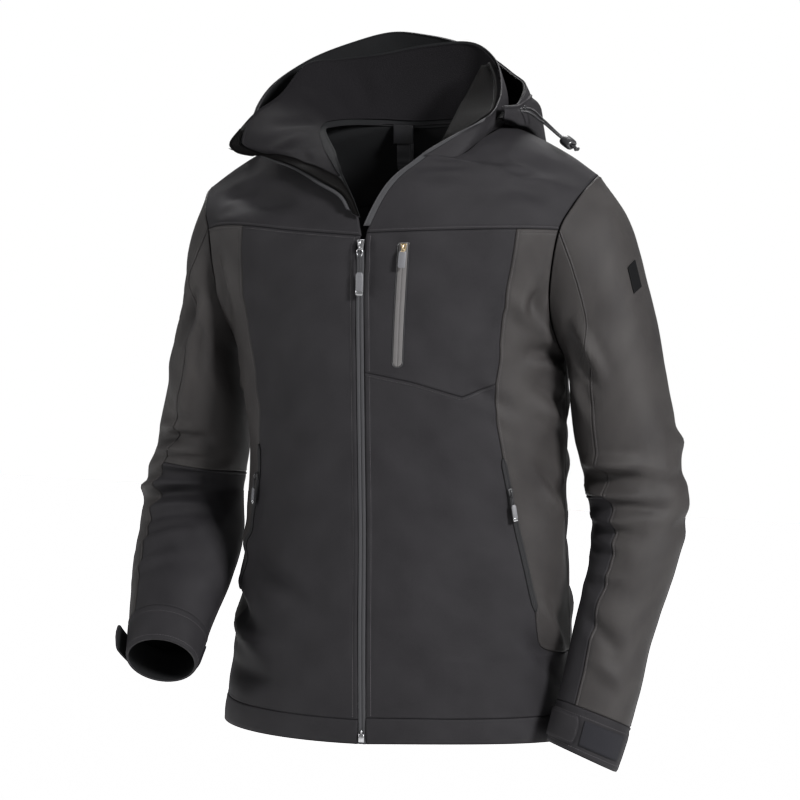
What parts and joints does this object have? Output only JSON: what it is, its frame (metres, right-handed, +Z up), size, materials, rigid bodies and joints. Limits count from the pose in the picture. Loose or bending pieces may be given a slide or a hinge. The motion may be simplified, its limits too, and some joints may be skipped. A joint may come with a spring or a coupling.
{
  "type": "hooded softshell jacket",
  "caption": "Hooded softshell jacket held open in a worn form, zipped to the chest with its collar and hood lying open; hollow body, sleeves and cuffs.",
  "frame": {"origin": "the middle of the neck base between the shoulders, where the wearer holds the garment up (mount shoulders)", "axes": "+X to the wearer's left, -Y to the front, +Z up"},
  "size_m": [0.6889, 0.3799, 0.8478],
  "materials": {
    "black_softshell": "matt woven softshell",
    "grey_softshell": "woven softshell with a soft sheen",
    "fleece": "brushed fleece",
    "zip_tape": "woven tape with a coil",
    "metal_slider": "satin",
    "plastic": "satin",
    "soft_plastic": "matt",
    "woven_label": "satin",
    "cord": "braided"
  },
  "bodies": {
    "garment": {"front_right": "black_softshell", "front_left_lower": "black_softshell", "front_left_chest": "black_softshell", "side_panel_left": "grey_softshell", "side_panel_right": "grey_softshell", "back_panel": "black_softshell", "side_back_left": "grey_softshell", "side_back_right": "grey_softshell", "yoke_left": "black_softshell", "yoke_right": "black_softshell", "back_yoke": "black_softshell", "hem_front_left": "black_softshell", "hem_front_right": "black_softshell", "hem_back": "black_softshell", "sleeve_outer_left": "grey_softshell", "sleeve_inner_left": "grey_softshell", "forearm_inner_left": "black_softshell", "cuff_left": "black_softshell", "sleeve_outer_right": "grey_softshell", "sleeve_inner_right": "grey_softshell", "forearm_inner_right": "black_softshell", "cuff_right": "black_softshell", "collar_outer": "black_softshell", "collar_inner": "fleece", "edge_band_right": "black_softshell", "collar_facing_left": "black_softshell", "hood": "black_softshell", "hood_casing": "black_softshell", "main_zip": "zip_tape", "zip_tape_left": "zip_tape", "zip_tape_right": "zip_tape", "main_slider": "plastic", "chest_zip": "zip_tape", "chest_slider": "metal_slider", "hand_zip_left": "zip_tape", "hand_slider_left": "plastic", "hand_zip_right": "zip_tape", "hand_slider_right": "plastic", "cuff_tab_left": "black_softshell", "hook_strip_left": "soft_plastic", "cuff_tab_right": "black_softshell", "hook_strip_right": "soft_plastic", "sleeve_patch": "soft_plastic", "label": "woven_label", "hang_loop": "black_softshell", "drawcord_upper": "cord", "drawcord_lower": "cord", "cord_lock": "plastic"},
    "main_pull_body": {"main_pull": "plastic"},
    "chest_pull_body": {"chest_pull": "plastic"},
    "hand_pull_left_body": {"hand_pull_left": "plastic"},
    "hand_pull_right_body": {"hand_pull_right": "plastic"}
  },
  "joints": [
    {"name": "main_pull_hinge", "type": "hinge", "parent": "garment", "child": "main_pull_body", "pos_m": [0.002, -0.14816, -0.10423], "axis": [-1, 0, 0], "range_deg": [0, 150]},
    {"name": "chest_pull_hinge", "type": "hinge", "parent": "garment", "child": "chest_pull_body", "pos_m": [0.05207, -0.14396, -0.10457], "axis": [-0.9891, -0.1201, 0.0852], "range_deg": [0, 130]},
    {"name": "hand_pull_left_hinge", "type": "hinge", "parent": "garment", "child": "hand_pull_left_body", "pos_m": [0.16532, -0.08386, -0.39121], "axis": [-0.7466, -0.6495, -0.1442], "range_deg": [0, 130]},
    {"name": "hand_pull_right_hinge", "type": "hinge", "parent": "garment", "child": "hand_pull_right_body", "pos_m": [-0.15498, -0.07688, -0.39125], "axis": [-0.6609, 0.7362, 0.1454], "range_deg": [0, 130]}
  ]
}
